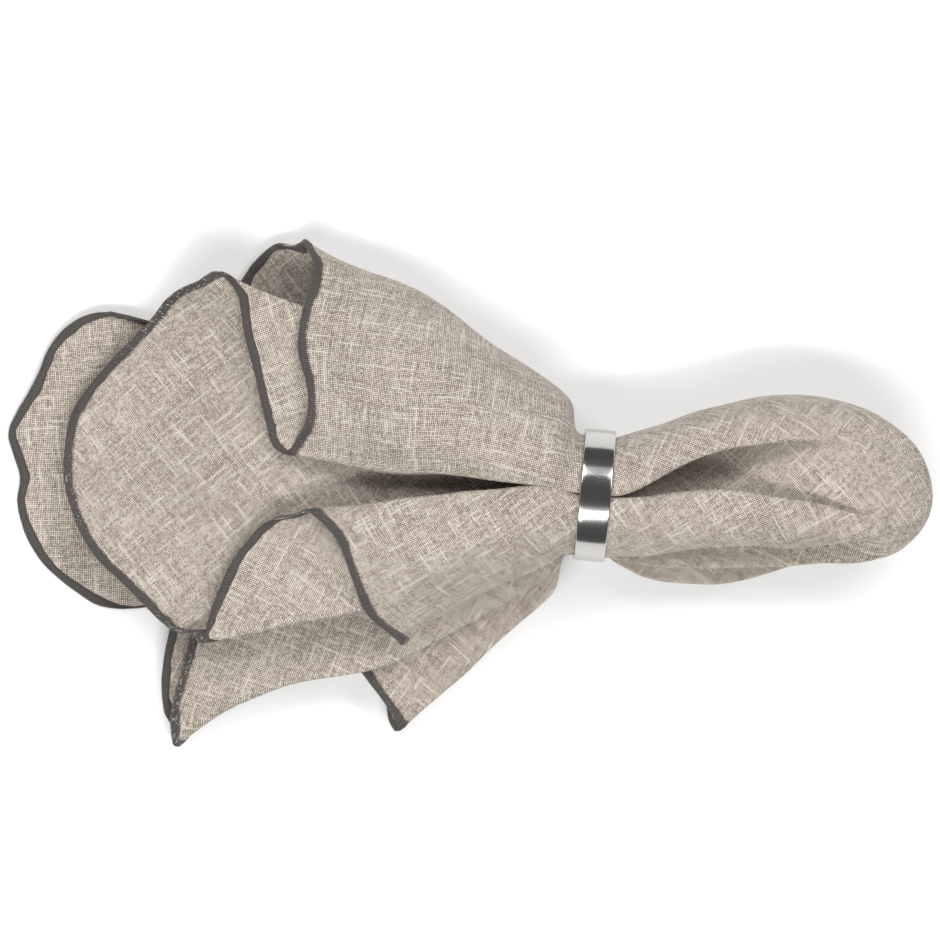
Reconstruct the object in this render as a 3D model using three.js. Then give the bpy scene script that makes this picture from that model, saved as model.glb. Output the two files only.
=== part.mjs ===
// A square linen napkin with an overlocked edge, gathered at its middle and pulled through a metal ring.
// Millimetres, +Z up. The table is z = 0, the ring stands across the X axis and the hem fans out
// towards -X.

import * as THREE from 'three';

// Ring: one plain band. Its own Y axis is turned a little about Z, as the ring sits askew on the cloth.
const RING = {
  outerRadius: 22.25,
  wall: 1.3,
  width: 10.5,
  edgeRadius: 0.4,
  edgeSteps: 1,
  segments: 64,
  x: 42,
  y: -1.4,
  turnDegrees: -5.3,
};

// Cloth: overall numbers of the sheet.
const CLOTH = {
  thickness: 1.0,
  layerPitch: 2.1, // least height from one lying layer to the next
  finePerStep: 3, // the surface is worked out this much finer than the mesh
  ringFade: 9, // within this of the ring a layer's height comes from its folds alone
  ringPull: 9, // how far a fold runs on along the ring's axis before it turns
  poleFlare: 1.6, // how boldly the folds spread from the middle of the napkin
  gapShare: 0.3, // a fold's gap is at most this share of the way to the next fold
  poleGap: 0.3, // share of a fold's gap left at the middle of the napkin
  neckCrown: 0.25, // share of a panel's rise that it has at the neck
  tangentReach: 2, // fine steps over which a panel's direction at a fold is taken
  flatBelow: 0.25, // what ends lower than this on the underside lies flat on the table
};

// The point of the tables below that lies under the middle of the whole, where the origin goes.
const ORIGIN = { x: 0.64, y: -0.56 };

// Stations along the cloth, from the napkin's middle (the tip of the bulb) to its hem.
// at: place along the fold, 0 to 1. steps: mesh steps from the station before. x: place of those
// right of the ring.
const STATIONS = [
  { name: 'pole', at: 0, steps: 0, x: 156.5 },
  { name: 'tip', at: 0.1, steps: 3, x: 138 },
  { name: 'dome', at: 0.19, steps: 3, x: 115 },
  { name: 'bulb', at: 0.33, steps: 4, x: 78 },
  { name: 'ringRight', at: 0.44, steps: 3 },
  { name: 'ringLeft', at: 0.48, steps: 1 },
  { name: 'neck', at: 0.56, steps: 4 },
  { name: 'middle', at: 0.74, steps: 5 },
  { name: 'hem', at: 1, steps: 6 },
];

const POLE = { y: -1, z: 21 };

// One row for each fold, in their order round the cloth, starting at the high back fold.
// tip, dome and bulb are [y, z] at those stations, ring is [across, up] from the ring's centre,
// neck, middle and hem are [x, y, z]. gap is how far apart the fold holds its two layers at
// [the bulb, the ring, the middle, the hem].
const FOLDS = [
  {
    name: 'back', tip: [24, 20], dome: [31, 20], bulb: [24.5, 20], ring: [18.6, 0],
    neck: [31.5, 33.5, 22], middle: [-5, 58, 18], hem: [-56.5, 81, 11], gap: [4, 3, 10, 16],
  },
  {
    name: 'lowest', tip: [-1, 4], dome: [-8, 2], bulb: [-12, 1.5], ring: [-6, -17.5],
    neck: [25.5, -10, 3], middle: [-17, -10, 1.5], hem: [-74.5, -23.5, 1.5], gap: [1.8, 1.8, 1.9, 1.9],
  },
  {
    name: 'farLeft', tip: [-7, 5], dome: [-6, 6], bulb: [4, 5], ring: [9.2, -15],
    neck: [23.5, 17, 7.5], middle: [-17, 31, 4], hem: [-117.5, 59, 1.5], gap: [1.8, 1.8, 1.9, 1.9],
  },
  {
    name: 'hiddenFront', tip: [-12.5, 6.5], dome: [-16, 7], bulb: [-22, 6], ring: [-14.4, -12.3],
    neck: [27, -23.5, 7.5], middle: [-7, -40, 4], hem: [-50, -58.5, 1.5], gap: [1.8, 1.8, 1.9, 1.9],
  },
  {
    name: 'hiddenBack', tip: [-17.5, 9], dome: [-10, 10], bulb: [5, 9.5], ring: [13.6, -9.6],
    neck: [25.5, 20.5, 12.5], middle: [-13.5, 34, 7], hem: [-98.5, 40, 4], gap: [1.8, 1.8, 1.9, 1.9],
  },
  {
    name: 'lowFront', tip: [-20.5, 11.5], dome: [-22.5, 12], bulb: [-31, 10.5], ring: [-17.6, -7],
    neck: [27.5, -33.5, 8], middle: [0, -59.5, 3], hem: [-24.5, -80, 1.6], gap: [1.8, 1.8, 2, 2],
  },
  {
    name: 'lowBack', tip: [-22.5, 16.7], dome: [-13, 16], bulb: [6, 14.5], ring: [16, -4.6],
    neck: [25.5, 20.5, 17.5], middle: [-13.5, 24, 11], hem: [-77.5, 14, 6], gap: [1.8, 1.8, 2, 2],
  },
  {
    name: 'longFront', tip: [-22, 22], dome: [-24, 20], bulb: [-25.2, 19], ring: [-18.6, -2],
    neck: [25.5, -28, 15], middle: [-22.5, -53.5, 8], hem: [-98, -84.5, 2], gap: [1.8, 1.8, 2.5, 2.2],
  },
  {
    name: 'innerBack', tip: [-17.5, 26.5], dome: [-8, 24], bulb: [6, 20.5], ring: [16.4, 0.6],
    neck: [25.5, 20.5, 23], middle: [-13.5, 20.5, 15], hem: [-80.5, 20.5, 8], gap: [1.8, 1.8, 2, 2],
  },
  {
    name: 'rollFront', tip: [-14.5, 30], dome: [-17.5, 29], bulb: [-18.5, 27.5], ring: [-18.3, 3.6],
    neck: [25.5, -24, 23], middle: [-2.5, -36, 14], hem: [-24.5, -50.5, 9], gap: [2, 2, 4, 3],
  },
  {
    name: 'rollFrontTop', tip: [-6, 35], dome: [-4.5, 38], bulb: [-0.7, 34.5], ring: [-2.4, 18.2],
    neck: [27.5, -2, 35.5], middle: [-10, -2.4, 25], hem: [-53.5, -9.5, 16], gap: [2, 2, 4, 3],
  },
  {
    name: 'troughFront', tip: [1, 36], dome: [-6.5, 34], bulb: [-9, 29.5], ring: [-15.2, 6.8],
    neck: [23.5, -16.5, 29], middle: [-13.5, -32, 17], hem: [-94.5, -49, 9], gap: [1.8, 1.8, 3, 3],
  },
  {
    name: 'troughBack', tip: [10, 34], dome: [13, 35], bulb: [17, 29], ring: [15.2, 6.8],
    neck: [23.5, 20.5, 29], middle: [-13.5, 42.5, 22], hem: [-86, 72.5, 22], gap: [1.8, 1.8, 3, 4],
  },
  {
    name: 'rollBackTop', tip: [16, 31], dome: [17.5, 36], bulb: [11.5, 34.5], ring: [2.4, 18.2],
    neck: [26.5, 3.6, 35.5], middle: [-10, 9, 24], hem: [-62, 13, 13], gap: [2, 2, 4, 3],
  },
];

// One row for each panel between a fold and the next. layer: order from the table up.
// base: the layer that it starts on, where the layer before it in the order lies beside it.
// round: how far it follows the ring's circle. crown: its rise at [the middle, the hem].
// hem: the points [x, y, z] that its hem passes between the folds. steps: mesh steps across.
const PANELS = [
  {
    name: 'backUnder', layer: 0, round: true, crown: [0, 0], steps: 5,
    hem: [[-70.5, 77.5, 3], [-80.5, 54.5, 1], [-83, 14, 0.5]],
  },
  { name: 'under', layer: 1, round: false, crown: [0, 0], steps: 2, hem: [[-99.5, 24, 1.6]] },
  {
    name: 'farLobe', layer: 2, round: false, crown: [0, 0], steps: 9,
    hem: [
      [-125.5, 61, 0.8], [-135, 57, 0.6], [-146, 37.5, 0.6], [-155.5, 17, 0.6], [-153, -3, 0.6],
      [-144.5, -23.5, 0.6], [-128.5, -37.5, 0.6], [-108, -39, 0.8], [-74.5, -45.5, 1],
    ],
  },
  {
    name: 'hiddenCorner', layer: 3, round: false, crown: [0, 0], steps: 3,
    hem: [[-89.5, -37, 3], [-114, 3.5, 3]],
  },
  { name: 'hiddenMiddle', layer: 4, round: false, crown: [0, 0], steps: 2, hem: [[-57.5, -23.5, 5]] },
  { name: 'lowLobe', layer: 5, round: false, crown: [1, 1], steps: 2, hem: [[-37, -60.5, 4]] },
  {
    name: 'longUnder', layer: 6, round: false, crown: [0, 0], steps: 3,
    hem: [[-96, -23.5, 6], [-105, -50.5, 2], [-104.5, -67.5, 1]],
  },
  {
    name: 'longLobe', layer: 7, round: false, crown: [1, 1], steps: 4,
    hem: [[-101, -81, 3], [-99.5, -67.5, 4], [-96, -50.5, 6]],
  },
  { name: 'inner', layer: 8, round: false, crown: [0, 0], steps: 3, hem: [[-57.5, -23.5, 9]] },
  {
    name: 'frontRoll', layer: 11, round: true, crown: [8, 4], steps: 4,
    hem: [[-35, -35.5, 13], [-47, -12, 16]],
  },
  {
    name: 'frontStrip', layer: 10, round: false, crown: [-1, -1], steps: 3,
    hem: [[-69, -13, 15], [-82.5, -35, 11]],
  },
  {
    name: 'trough', layer: 9, round: false, crown: [-3, -3], steps: 8,
    hem: [[-116.5, -33.5, 4], [-133, -13, 3], [-138, 7, 3], [-132.5, 29, 4], [-115.5, 47.5, 8]],
  },
  {
    name: 'backStrip', layer: 12, base: 9, round: false, crown: [1, 1], steps: 3,
    hem: [[-75.5, 62.5, 20], [-69, 36, 16]],
  },
  {
    name: 'backRoll', layer: 13, round: true, crown: [9, 5], steps: 5,
    hem: [[-54.5, 21, 18], [-54.5, 44.5, 22], [-50.5, 70, 22]],
  },
];

const ARC_STEPS = 2; // mesh steps round each fold
const ARC_PULL = { straight: 1, back: 2 }; // a turn's slope in widths of its gap, where it goes on or back

// How far a round panel follows the ring's circle at each station.
const ROUND_AT = {
  pole: 0,
  tip: 0.6,
  dome: 0.75,
  bulb: 0.85,
  ringRight: 1,
  ringLeft: 1,
  neck: 0.85,
  middle: 0.3,
  hem: 0,
};
const ROUND_SWELL = 0.3; // a round panel stands this much prouder than its folds
const HEM_REACH = 1.15; // over 1, the hem's bow fades sooner towards the ring

// The height field of what already lies on the table, for laying the next layer on it.
const FIELD = { cell: 3, x0: -176, y0: -112, columns: 80, rows: 76 };
const SPREAD = { grow: 3, blur: 1, passes: 8 }; // how far a layer drapes past a bump, in fine steps

const COLOURS = { linen: 0xb8aa9a, steel: 0xc9ccd0 };

const vec = (x, y, z) => new THREE.Vector3(x, y, z);
const mix = (a, b, share) => a.clone().lerp(b, share);
const clamp = THREE.MathUtils.clamp;
const ringTurn = THREE.MathUtils.degToRad(RING.turnDegrees);
const ringAxis = vec(Math.cos(ringTurn), Math.sin(ringTurn), 0);
const ringAcross = vec(-Math.sin(ringTurn), Math.cos(ringTurn), 0);

const station = (name) => STATIONS.find((s) => s.name === name);

// Value at place along, from numbers given at some stations.
function alongStations(values, along) {
  const names = Object.keys(values);
  for (let i = 1; i < names.length; i++) {
    const before = station(names[i - 1]).at;
    const after = station(names[i]).at;
    if (along <= after) {
      const share = clamp((along - before) / (after - before), 0, 1);
      return THREE.MathUtils.lerp(values[names[i - 1]], values[names[i]], share);
    }
  }
  return values[names[names.length - 1]];
}

function inRing(across, up, side) {
  return vec(RING.x, RING.y, RING.outerRadius + up)
    .addScaledVector(ringAxis, (side * RING.width) / 2)
    .addScaledVector(ringAcross, across);
}

// Slopes of a smooth line through points at given places.
function slopesOf(points, places) {
  const last = points.length - 1;
  const legs = [];
  for (let i = 0; i < last; i++) {
    legs.push(points[i + 1].clone().sub(points[i]).divideScalar(places[i + 1] - places[i]));
  }
  const slopes = [legs[0].clone()];
  for (let i = 1; i < last; i++) {
    const before = places[i] - places[i - 1];
    const after = places[i + 1] - places[i];
    slopes.push(mix(legs[i - 1], legs[i], before / (before + after)));
  }
  slopes.push(legs[last - 1].clone().multiplyScalar(3).sub(slopes[last - 1]).divideScalar(2)); // a free end
  return slopes;
}

// Cubic from a to b, with the slope times its length at each end.
function cubic(a, slopeA, b, slopeB, u) {
  const u2 = u * u;
  const u3 = u2 * u;
  return vec(0, 0, 0)
    .addScaledVector(a, 2 * u3 - 3 * u2 + 1)
    .addScaledVector(slopeA, u3 - 2 * u2 + u)
    .addScaledVector(b, 3 * u2 - 2 * u3)
    .addScaledVector(slopeB, u3 - u2);
}

function onLine(points, slopes, places, at) {
  let i = 0;
  while (i < places.length - 2 && at > places[i + 1]) i++;
  const length = places[i + 1] - places[i];
  const u = clamp((at - places[i]) / length, 0, 1);
  return cubic(
    points[i],
    slopes[i].clone().multiplyScalar(length),
    points[i + 1],
    slopes[i + 1].clone().multiplyScalar(length),
    u,
  );
}

// Places of the fine grid along the cloth.
function placesAlong() {
  const places = [0];
  for (let i = 1; i < STATIONS.length; i++) {
    const count = STATIONS[i].steps * CLOTH.finePerStep;
    for (let j = 1; j <= count; j++) {
      places.push(THREE.MathUtils.lerp(STATIONS[i - 1].at, STATIONS[i].at, j / count));
    }
  }
  return places;
}

// The line of one fold from the pole through the ring to the hem.
function foldLine(fold, along) {
  const points = [
    vec(station('pole').x, POLE.y, POLE.z),
    vec(station('tip').x, ...fold.tip),
    vec(station('dome').x, ...fold.dome),
    vec(station('bulb').x, ...fold.bulb),
    inRing(...fold.ring, 1),
    inRing(...fold.ring, -1),
    vec(...fold.neck),
    vec(...fold.middle),
    vec(...fold.hem),
  ];
  const places = STATIONS.map((s) => s.at);
  const slopes = slopesOf(points, places);
  const ringLength = station('ringLeft').at - station('ringRight').at;
  for (const name of ['ringRight', 'ringLeft']) {
    slopes[STATIONS.indexOf(station(name))] = ringAxis.clone().multiplyScalar(-CLOTH.ringPull / ringLength);
  }
  slopes[0] = points[1].clone().sub(points[0]).setX(0).multiplyScalar(CLOTH.poleFlare / places[1]);
  return along.map((at) => onLine(points, slopes, places, at));
}

// Both sides of every fold: where the panel before it ends and the panel after it starts.
function foldSides(along) {
  const lines = FOLDS.map((fold) => foldLine(fold, along));
  const count = FOLDS.length;
  return FOLDS.map((fold, k) => {
    const before = lines[(k + count - 1) % count];
    const after = lines[(k + 1) % count];
    const [atBulb, atRing, atMiddle, atHem] = fold.gap;
    const gaps = {
      pole: CLOTH.poleGap * atBulb,
      tip: atBulb,
      bulb: atBulb,
      ringRight: atRing,
      neck: atRing,
      middle: atMiddle,
      hem: atHem,
    };
    const roundBefore = PANELS[(k + count - 1) % count].round ? 1 : 0;
    const roundAfter = PANELS[k].round ? 1 : 0;
    const swellBefore = circleShare(FOLDS[(k + count - 1) % count], fold, 0.5);
    const swellAfter = circleShare(fold, FOLDS[(k + 1) % count], 0.5);
    const sides = lines[k].map((point, j) => {
      const swell = alongStations(ROUND_AT, along[j]);
      const toBefore = mix(before[j], point, 0.5).addScaledVector(swellBefore, roundBefore * swell);
      const toAfter = mix(after[j], point, 0.5).addScaledVector(swellAfter, roundAfter * swell);
      toBefore.sub(point).normalize();
      toAfter.sub(point).normalize();
      const apart = toBefore.sub(toAfter).normalize();
      const room = CLOTH.gapShare * Math.min(point.distanceTo(before[j]), point.distanceTo(after[j]));
      const half = Math.min(alongStations(gaps, along[j]), room) / 2;
      return [point.clone().addScaledVector(apart, half), point.clone().addScaledVector(apart, -half)];
    });
    return { before: sides.map((s) => s[0]), after: sides.map((s) => s[1]) };
  });
}

// Where a round panel runs on the circle inside the ring, less the straight line between its folds.
function circleShare(fold, next, share) {
  const start = Math.atan2(fold.ring[1], fold.ring[0]);
  let end = Math.atan2(next.ring[1], next.ring[0]);
  const turn = THREE.MathUtils.euclideanModulo(end - start + Math.PI, 2 * Math.PI) - Math.PI;
  end = start + turn;
  const radius = THREE.MathUtils.lerp(Math.hypot(...fold.ring), Math.hypot(...next.ring), share)
    + ROUND_SWELL * Math.sin(Math.PI * share);
  const angle = THREE.MathUtils.lerp(start, end, share);
  const across = radius * Math.cos(angle) - THREE.MathUtils.lerp(fold.ring[0], next.ring[0], share);
  const up = radius * Math.sin(angle) - THREE.MathUtils.lerp(fold.ring[1], next.ring[1], share);
  return ringAcross.clone().multiplyScalar(across).setZ(up);
}

// One panel as rows of points: across it first, then along the cloth.
function panelGrid(k, sides, along) {
  const panel = PANELS[k];
  const start = sides[k].after;
  const end = sides[(k + 1) % FOLDS.length].before;
  const last = along.length - 1;
  const hemPoints = [start[last], ...panel.hem.map((p) => vec(...p)), end[last]];
  const hemPlaces = [0];
  for (let i = 1; i < hemPoints.length; i++) {
    hemPlaces.push(hemPlaces[i - 1] + hemPoints[i].distanceTo(hemPoints[i - 1]));
  }
  const hemSlopes = slopesOf(hemPoints, hemPlaces);
  const [crownMiddle, crownHem] = panel.crown;
  const crowns = {
    ringLeft: 0,
    neck: CLOTH.neckCrown * Math.max(crownMiddle, 0),
    middle: crownMiddle,
    hem: crownHem,
  };
  const ringAt = station('ringLeft').at;
  const count = panel.steps * CLOTH.finePerStep;
  const grid = [];
  for (let i = 0; i <= count; i++) {
    const share = i / count;
    const hemBow = onLine(hemPoints, hemSlopes, hemPlaces, share * hemPlaces[hemPlaces.length - 1])
      .sub(mix(start[last], end[last], share));
    const round = circleShare(FOLDS[k], FOLDS[(k + 1) % FOLDS.length], share);
    grid.push(along.map((at, j) => {
      const point = mix(start[j], end[j], share);
      point.addScaledVector(hemBow, clamp((at - ringAt) / (1 - ringAt), 0, 1) ** HEM_REACH);
      if (panel.round) point.addScaledVector(round, alongStations(ROUND_AT, at));
      point.z += 4 * share * (1 - share) * alongStations(crowns, at);
      return point;
    }));
  }
  return grid;
}

// Largest value, or the mean, within a few cells along both directions of a table of numbers.
function boxed(table, reach, useMax) {
  const along = (row) => row.map((_, i) => {
    let result = useMax ? -Infinity : 0;
    for (let d = -reach; d <= reach; d++) {
      const value = row[clamp(i + d, 0, row.length - 1)];
      result = useMax ? Math.max(result, value) : result + value / (2 * reach + 1);
    }
    return result;
  });
  const flip = (t) => t[0].map((_, j) => t.map((row) => row[j]));
  return flip(flip(table.map(along)).map(along));
}

const cellOf = (point) => [(point.x - FIELD.x0) / FIELD.cell, (point.y - FIELD.y0) / FIELD.cell];

function fieldHeight(field, point) {
  const [u, v] = cellOf(point);
  const i = clamp(Math.floor(u - 0.5), 0, FIELD.columns - 2);
  const j = clamp(Math.floor(v - 0.5), 0, FIELD.rows - 2);
  const a = clamp(u - 0.5 - i, 0, 1);
  const b = clamp(v - 0.5 - j, 0, 1);
  return (field[i][j] * (1 - b) + field[i][j + 1] * b) * (1 - a)
    + (field[i + 1][j] * (1 - b) + field[i + 1][j + 1] * b) * a;
}

// Lays the panels on each other, left of the ring: each stays a layer's pitch above what is under it.
function layInOrder(grids, along) {
  const empty = () => Array.from({ length: FIELD.columns }, () => new Array(FIELD.rows).fill(0));
  const ringAt = station('ringLeft').at;
  const ringFace = RING.x - RING.width / 2;
  const order = PANELS.map((_, k) => k).sort((a, b) => PANELS[a].layer - PANELS[b].layer);
  const fieldAfter = {};
  let field = empty().map((column) => column.map(() => -CLOTH.layerPitch));
  for (const k of order) {
    const { layer, base } = PANELS[k];
    if (base !== undefined) field = fieldAfter[base];
    let need = grids[k].map((row) => row.map(
      (point) => Math.max(0, fieldHeight(field, point) + CLOTH.layerPitch - point.z),
    ));
    need = boxed(need, SPREAD.grow, true);
    for (let pass = 0; pass < SPREAD.passes; pass++) need = boxed(need, SPREAD.blur, false);
    const top = empty();
    grids[k].forEach((row, i) => row.forEach((point, j) => {
      const fade = THREE.MathUtils.smoothstep(ringFace - point.x, 0, CLOTH.ringFade);
      point.z = Math.max(point.z + need[i][j] * fade, CLOTH.thickness / 2);
      if (along[j] <= ringAt) return;
      const [u, v] = cellOf(point).map(Math.floor);
      if (top[u]?.[v] !== undefined) top[u][v] = Math.max(top[u][v], point.z);
    }));
    const soft = boxed(boxed(top, 1, true), 1, false);
    field = field.map((column, i) => column.map((height, j) => (
      soft[i][j] > 0 ? Math.max(height, soft[i][j]) : height
    )));
    fieldAfter[layer] = field;
  }
}

// Every mesh line along the cloth, in order round it: each panel's own, then the turn of the next fold.
function clothLines() {
  const along = placesAlong();
  const sides = foldSides(along);
  const grids = PANELS.map((_, k) => panelGrid(k, sides, along));
  layInOrder(grids, along);
  const lines = [];
  grids.forEach((grid, k) => {
    const next = grids[(k + 1) % grids.length];
    for (let i = 0; i < grid.length; i += CLOTH.finePerStep) lines.push(grid[i]);
    const end = grid[grid.length - 1];
    const beforeEnd = grid[grid.length - 1 - CLOTH.tangentReach];
    for (let i = 1; i < ARC_STEPS; i++) {
      lines.push(end.map((point, j) => {
        const leave = point.clone().sub(beforeEnd[j]).normalize();
        const enter = next[CLOTH.tangentReach][j].clone().sub(next[0][j]).normalize();
        const onward = (1 + leave.dot(enter)) / 2;
        const pull = point.distanceTo(next[0][j])
          * THREE.MathUtils.lerp(ARC_PULL.back, ARC_PULL.straight, onward);
        leave.multiplyScalar(pull);
        enter.multiplyScalar(pull);
        return cubic(point, leave, next[0][j], enter, i / ARC_STEPS);
      }));
    }
  });
  return lines.map((line) => line.filter((_, j) => j % CLOTH.finePerStep === 0));
}

// Closes the sheet: the lines are moved half a thickness to each side and joined along the hem.
function clothGeometry() {
  const lines = clothLines();
  const around = lines.length;
  const rows = lines[0].length - 1;
  const pole = lines[0][0];
  const at = (i, j) => (j === 0 ? pole : lines[(i + around) % around][j]);
  const half = CLOTH.thickness / 2;
  const outside = [];
  const inside = [];
  for (let j = 1; j <= rows; j++) {
    for (let i = 0; i < around; i++) {
      const point = at(i, j);
      const normal = vec(0, 0, 0);
      const ring = [at(i + 1, j), at(i, Math.min(j + 1, rows)), at(i - 1, j), at(i, j - 1)];
      for (let q = 0; q < 4; q++) {
        const a = ring[q].clone().sub(point);
        const b = ring[(q + 1) % 4].clone().sub(point);
        if (a.lengthSq() > 0 && b.lengthSq() > 0) normal.add(a.cross(b).normalize());
      }
      normal.normalize();
      outside.push(point.clone().addScaledVector(normal, half));
      inside.push(point.clone().addScaledVector(normal, -half));
    }
  }
  for (const point of [...outside, ...inside]) {
    if (point.z < CLOTH.flatBelow) point.z = 0;
  }
  const poleOut = pole.clone().setX(pole.x + half);
  const poleIn = pole.clone().setX(pole.x - half);
  const points = [...outside, ...inside, poleOut, poleIn];
  const insideStart = outside.length;
  const outPole = points.length - 2;
  const inPole = points.length - 1;
  const index = [];
  const quad = (a, b, c, d) => index.push(a, b, c, a, c, d);
  for (let i = 0; i < around; i++) {
    const n = (i + 1) % around;
    index.push(outPole, n, i);
    index.push(inPole, insideStart + i, insideStart + n);
    for (let j = 0; j < rows - 1; j++) {
      const here = j * around;
      const down = here + around;
      const hereIn = insideStart + here;
      const downIn = insideStart + down;
      quad(here + i, here + n, down + n, down + i);
      quad(hereIn + n, hereIn + i, downIn + i, downIn + n);
    }
    const hem = (rows - 1) * around;
    quad(hem + i, hem + n, insideStart + hem + n, insideStart + hem + i);
  }
  const geometry = new THREE.BufferGeometry().setFromPoints(points);
  geometry.setIndex(index);
  geometry.computeVertexNormals();
  return geometry;
}

// The band's section turned about its own axis, with softened edges.
function ringGeometry() {
  const { outerRadius, wall, width, edgeRadius, edgeSteps, segments } = RING;
  const corners = [
    { radius: outerRadius - edgeRadius, height: width / 2 - edgeRadius, start: 0 },
    { radius: outerRadius - wall + edgeRadius, height: width / 2 - edgeRadius, start: 1 },
    { radius: outerRadius - wall + edgeRadius, height: -width / 2 + edgeRadius, start: 2 },
    { radius: outerRadius - edgeRadius, height: -width / 2 + edgeRadius, start: 3 },
  ];
  const profile = [];
  for (const corner of corners) {
    for (let i = 0; i <= edgeSteps; i++) {
      const angle = ((corner.start + i / edgeSteps) * Math.PI) / 2;
      profile.push(new THREE.Vector2(
        corner.radius + edgeRadius * Math.cos(angle),
        corner.height + edgeRadius * Math.sin(angle),
      ));
    }
  }
  profile.push(profile[0].clone());
  return new THREE.LatheGeometry(profile, segments);
}

function napkin() {
  const linen = new THREE.MeshStandardMaterial({ color: COLOURS.linen, roughness: 0.9, metalness: 0 });
  linen.side = THREE.DoubleSide;
  const mesh = new THREE.Mesh(clothGeometry(), linen);
  mesh.name = 'napkin';
  return mesh;
}

function ring() {
  const steel = new THREE.MeshStandardMaterial({ color: COLOURS.steel, roughness: 0.08, metalness: 1 });
  const mesh = new THREE.Mesh(ringGeometry(), steel);
  mesh.name = 'ring';
  mesh.rotation.set(0, 0, ringTurn - Math.PI / 2);
  mesh.position.set(RING.x, RING.y, RING.outerRadius);
  return mesh;
}

const model = new THREE.Group();
model.add(napkin());
model.add(ring());
model.position.set(-ORIGIN.x, -ORIGIN.y, 0);

export default model;
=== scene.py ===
# A linen napkin pulled through a polished steel ring, lying on a white table and seen from above.
import math

import bpy
import numpy as np
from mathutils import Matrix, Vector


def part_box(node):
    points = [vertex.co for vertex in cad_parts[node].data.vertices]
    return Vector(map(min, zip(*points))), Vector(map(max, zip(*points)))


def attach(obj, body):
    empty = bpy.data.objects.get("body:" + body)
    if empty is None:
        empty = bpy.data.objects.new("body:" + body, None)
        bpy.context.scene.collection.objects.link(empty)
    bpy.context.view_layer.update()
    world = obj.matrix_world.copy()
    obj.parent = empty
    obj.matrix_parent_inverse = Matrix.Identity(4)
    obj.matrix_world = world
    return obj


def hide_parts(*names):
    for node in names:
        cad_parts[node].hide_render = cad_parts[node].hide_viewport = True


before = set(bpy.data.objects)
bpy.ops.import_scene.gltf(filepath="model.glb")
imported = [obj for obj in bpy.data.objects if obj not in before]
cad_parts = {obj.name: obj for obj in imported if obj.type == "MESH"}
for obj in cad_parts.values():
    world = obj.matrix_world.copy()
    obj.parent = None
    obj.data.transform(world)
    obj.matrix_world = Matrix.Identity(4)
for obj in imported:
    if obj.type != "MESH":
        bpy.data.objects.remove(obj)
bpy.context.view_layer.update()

print("frame loaded")

# Cloth sizes are in millimetres, in the plan of the folds below. toScene moves them into the frame.
mm = 0.001

ring = {
    "outerRadius": 22.25,
    "wall": 1.3,
    "width": 10.5,
    "edgeRadius": 0.45,
    "edgeSteps": 5,
    "dome": 0.1,  # how much prouder its face stands in the middle
    "faceSteps": 8,
    "segments": 256,
    "x": 42.0,
    "y": -1.4,
    "turnDegrees": -5.3,
}

ringLow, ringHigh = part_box("ring")
planShift = np.array([
    (ringLow.x + ringHigh.x) / 2 / mm - ring["x"],
    (ringLow.y + ringHigh.y) / 2 / mm - ring["y"],
    0.0,
])


def toScene(points):
    return (np.asarray(points, float) + planShift) * mm


ringTurn = math.radians(ring["turnDegrees"])
ringAxis = np.array([math.cos(ringTurn), math.sin(ringTurn), 0.0])
ringAcross = np.array([-math.sin(ringTurn), math.cos(ringTurn), 0.0])
upward = np.array([0.0, 0.0, 1.0])

cloth = {
    "flat": 450.0,  # side of the square that it was cut to
    "thickness": 0.6,
    "lieHeight": 0.5,  # the sheet's middle stays this high over the table
    "layerPitch": 1.3,
    "planSteps": 3,  # steps of the plan's grid for each of a panel's or station's steps
    "finer": 2,  # the rows along the cloth are split this much further
    "turnSteps": 5,  # steps round each fold
    "unrollSteps": 30,  # rounds in which the unrolled panels are evened out
    "unrollMargin": 0.001,
    "weaveShift": (61.7, 23.9),  # from one panel's weave to the next, so that no two look alike
    "turnPull": (2.0, 1.0),  # slope of a turn in widths of its gap, where it goes back and where it goes on
    "ringFade": 9.0,  # length left of the ring over which the panels come to lie in order
    "ringPull": 9.0,  # how far a fold's slope takes it from one face of the ring to the other
    "ringFill": 1.05,  # how much further out than in the solid the folds lie in the ring
    "poleFlare": 1.6,  # how roundly the folds leave the pole
    "gapShare": 0.3,  # widest gap in a fold, as a share of the way to the next fold
    "poleGap": 0.3,  # gaps at the pole, as a share of those at the bulb
    "neckCrown": 0.25,  # a panel's crown at the neck, as a share of that at the middle
    "tangentReach": 2,  # lines over which the slope into a turn is measured
    "roundSwell": 0.3,  # how far a round panel swells between its folds
    "hemReach": 1.15,  # above 1, the hem's outline fades sooner towards the ring
    "spread": {"grow": 3, "blur": 1, "passes": 8},  # how a lift spreads over a panel
    "field": {"cell": 3.0, "x": -176.0, "y": -112.0, "columns": 80, "rows": 76},  # table of heights
}

# Places along the cloth from its middle, the pole, to its hem.
stations = {
    "pole": {"at": 0.0, "steps": 0, "x": 156.5},
    "tip": {"at": 0.1, "steps": 3, "x": 138.0},
    "dome": {"at": 0.19, "steps": 3, "x": 115.0},
    "bulb": {"at": 0.33, "steps": 4, "x": 78.0},
    "ringRight": {"at": 0.44, "steps": 3},
    "ringLeft": {"at": 0.48, "steps": 1},
    "neck": {"at": 0.56, "steps": 4},
    "middle": {"at": 0.74, "steps": 5},
    "hem": {"at": 1.0, "steps": 6},
}
stationNames = list(stations)
stationAt = np.array([stations[name]["at"] for name in stationNames])
pole = np.array([stations["pole"]["x"], -1.0, 21.0])

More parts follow.
